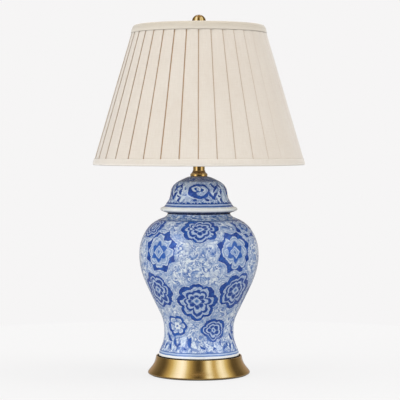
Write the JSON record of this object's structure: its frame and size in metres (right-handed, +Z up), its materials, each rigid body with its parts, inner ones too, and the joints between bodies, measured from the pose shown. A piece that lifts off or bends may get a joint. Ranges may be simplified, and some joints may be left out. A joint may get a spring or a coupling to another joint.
{
  "type": "table lamp",
  "caption": "Ginger jar table lamp: blue and white porcelain jar and lid on a flared brass base, with a harp, a pleated empire shade and a ball finial.",
  "frame": {"origin": "centre of the underside of the base, on the surface that the lamp stands on", "axes": "+Z up along the lamp's pipe, -Y the front with the switch, +Y the back with the cord outlet"},
  "size_m": [0.408, 0.408, 0.6922],
  "materials": {
    "antique_brass": "brushed antique, satin lacquer",
    "plated_brass": "bright plated",
    "zinc_steel": "zinc plated",
    "iron": "raw casting",
    "porcelain": "blue and white underglaze pattern, gloss glaze",
    "felt": "pressed felt",
    "board": "hardboard",
    "cork_rubber": "soft washer",
    "bushing_plastic": "moulded",
    "insulating_board": "fibre sleeve",
    "phenolic": "moulded",
    "nickel": "nickel plated",
    "bulb_glass": "inside frosted",
    "shade_fabric": "knife pleated cloth",
    "shade_lining": "styrene lining",
    "shade_binding": "bias binding",
    "white_wire": "painted wire"
  },
  "bodies": {
    "root": {"base_felt": "felt", "base_board": "board", "base_shell": "antique_brass", "base_weight": "iron", "base_lock_washer": "zinc_steel", "base_nut": "zinc_steel", "cord_bushing": "bushing_plastic", "lamp_pipe": "zinc_steel", "seat_gasket": "cork_rubber", "jar_body": "porcelain", "lid_gasket": "cork_rubber", "jar_lid": "porcelain", "vase_cap": "antique_brass", "neck_tube": "antique_brass", "neck_cap": "antique_brass", "neck_nut": "antique_brass", "harp_saddle": "plated_brass", "socket_cap": "plated_brass", "socket_set_screw": "zinc_steel", "socket_shell": "plated_brass", "socket_insulator": "insulating_board", "socket_body": "phenolic", "terminal_screws": "plated_brass", "socket_screw_shell": "nickel", "socket_contact": "plated_brass"},
    "harp": {"harp": "plated_brass"},
    "stud": {"harp_stud": "plated_brass"},
    "ferrule_l": {"ferrule_left": "plated_brass"},
    "ferrule_r": {"ferrule_right": "plated_brass"},
    "shade": {"shade_cover": "shade_fabric", "shade_liner": "shade_lining", "shade_top_frame": "white_wire", "shade_bottom_ring": "white_wire", "shade_top_trim": "shade_binding", "shade_bottom_trim": "shade_binding"},
    "finial": {"finial_base": "antique_brass", "finial_ball": "antique_brass"},
    "bulb": {"bulb_globe": "bulb_glass", "bulb_cap": "nickel", "bulb_contact": "nickel"},
    "switch": {"switch_shaft": "zinc_steel", "switch_knob": "phenolic"}
  },
  "joints": [
    {"name": "switch_turn", "type": "hinge", "parent": "root", "child": "switch", "pos_m": [0, -0.03, 0.456], "axis": [0, -1, 0], "continuous": true},
    {"name": "bulb_out", "type": "slide", "parent": "root", "child": "bulb", "axis": [0, 0, 1], "range_m": [0, 0.03]},
    {"name": "harp_lift", "type": "slide", "parent": "root", "child": "harp", "axis": [0, 0, 1], "range_m": [0, 0.012]},
    {"name": "ferrule_left_up", "type": "slide", "parent": "harp", "child": "ferrule_l", "axis": [0, 0, 1], "range_m": [0, 0.014]},
    {"name": "ferrule_right_up", "type": "slide", "parent": "harp", "child": "ferrule_r", "axis": [0, 0, 1], "range_m": [0, 0.014]},
    {"name": "shade_turn", "type": "hinge", "parent": "harp", "child": "stud", "pos_m": [0, 0, 0.655], "axis": [0, 0, 1], "continuous": true},
    {"name": "shade_lift", "type": "slide", "parent": "stud", "child": "shade", "axis": [0, 0, 1], "range_m": [0, 0.25]},
    {"name": "finial_turn", "type": "hinge", "parent": "shade", "child": "finial", "pos_m": [0, 0, 0.665], "axis": [0, 0, 1], "continuous": true}
  ]
}
